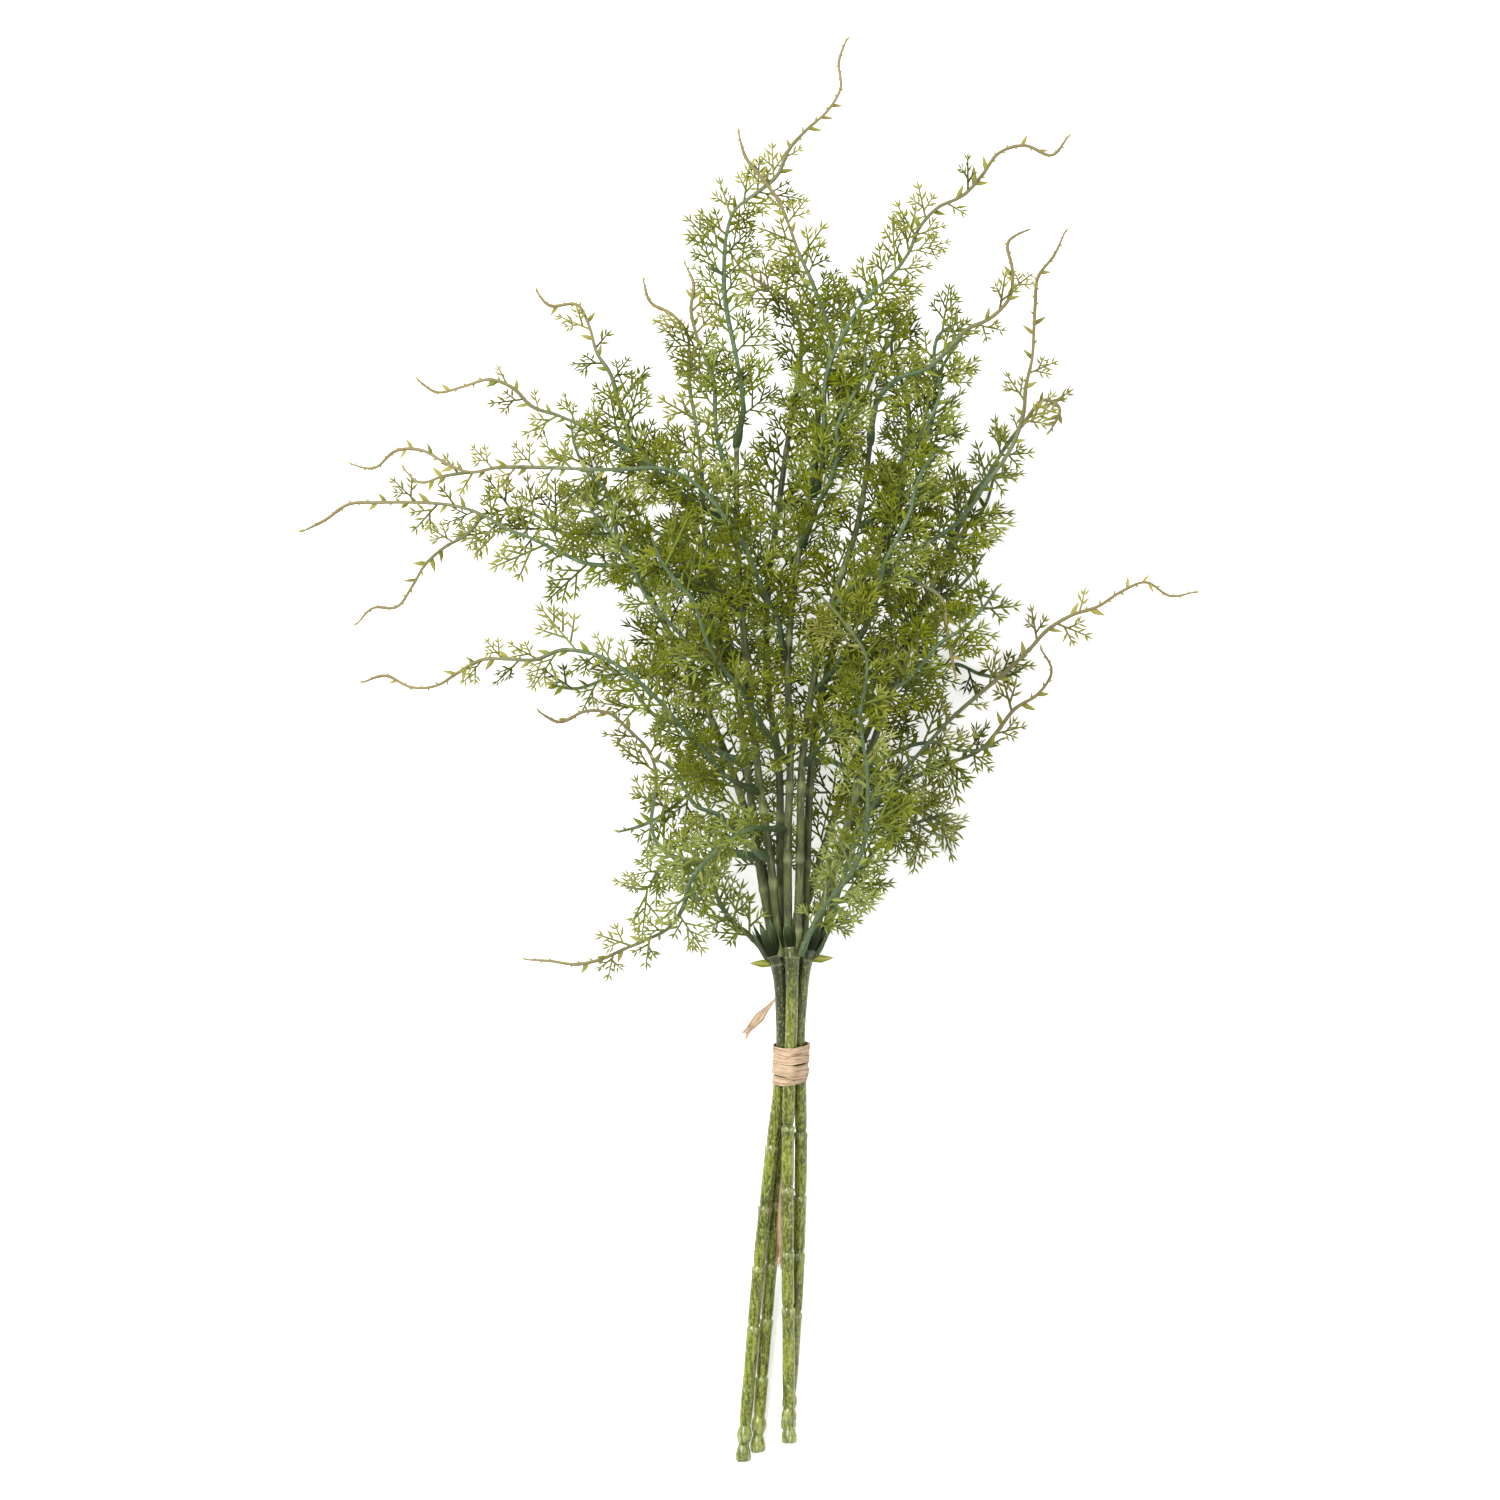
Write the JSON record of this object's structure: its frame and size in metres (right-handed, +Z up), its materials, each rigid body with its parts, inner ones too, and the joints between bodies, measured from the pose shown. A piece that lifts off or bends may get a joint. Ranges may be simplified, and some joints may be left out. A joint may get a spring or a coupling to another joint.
{
  "type": "bunch of artificial asparagus fern",
  "caption": "Long bunch of artificial asparagus fern: jointed moulded stems tied with a raffia band, thin stalks and wiry feathery fronds with curling tips, lying on its side.",
  "frame": {"origin": "centre of the bounding box's footprint, on the surface that the bunch lies on", "axes": "+Y from the cut ends of the stems to the tips of the fronds, +Z up from the surface, so the bunch's front faces up"},
  "size_m": [0.3752, 0.5992, 0.1096],
  "materials": {
    "stem_green": "satin olive green moulded plastic with a greyish bloom",
    "stalk_green": "matt grey-green moulded plastic",
    "frond_green": "matt mid-green moulded plastic, teal at the sheaths and yellow-green at the tips",
    "raffia": "dry pale straw raffia, flat fibrous strands"
  },
  "bodies": {
    "root": {"stem_left": "stem_green", "stem_front": "stem_green", "stem_right": "stem_green", "stem_back": "stem_green", "stalk_left_1": "stalk_green", "stalk_left_2": "stalk_green", "stalk_front_1": "stalk_green", "stalk_front_2": "stalk_green", "stalk_right_1": "stalk_green", "stalk_right_2": "stalk_green", "stalk_back_1": "stalk_green", "stalk_back_2": "stalk_green", "stalk_back_3": "stalk_green", "frond_crown": "frond_green", "frond_crown_left": "frond_green", "frond_crown_right": "frond_green", "frond_right_high": "frond_green", "frond_right_tall": "frond_green", "frond_right_reach": "frond_green", "frond_right_hook": "frond_green", "frond_right_droop": "frond_green", "frond_right_arch": "frond_green", "frond_right_low": "frond_green", "frond_left_sweep": "frond_green", "frond_left_reach": "frond_green", "frond_left_loop": "frond_green", "frond_left_long": "frond_green", "frond_left_high": "frond_green", "frond_left_upper": "frond_green", "frond_left_rise": "frond_green", "frond_left_climb": "frond_green", "frond_top_left": "frond_green", "frond_top_back": "frond_green", "frond_right_inner": "frond_green", "frond_right_tip": "frond_green", "frond_fill_left": "frond_green", "frond_fill_front": "frond_green", "frond_fill_right": "frond_green", "frond_fill_top": "frond_green", "frond_fill_side": "frond_green", "frond_fill_high": "frond_green", "frond_fill_tip": "frond_green", "frond_fill_middle": "frond_green", "frond_low_right": "frond_green", "frond_low_front": "frond_green", "frond_low_left": "frond_green", "frond_low_side": "frond_green", "frond_mid_left": "frond_green", "frond_near_left": "frond_green", "frond_under_left": "frond_green", "frond_under_top": "frond_green", "frond_under_tip_left": "frond_green", "frond_under_side_left": "frond_green", "frond_under_tip_right": "frond_green", "frond_under_side_right": "frond_green", "frond_under_low_left": "frond_green", "frond_under_low_right": "frond_green", "tie_band": "raffia", "tie_tail_short": "raffia", "tie_tail_long": "raffia"}
  },
  "joints": []
}
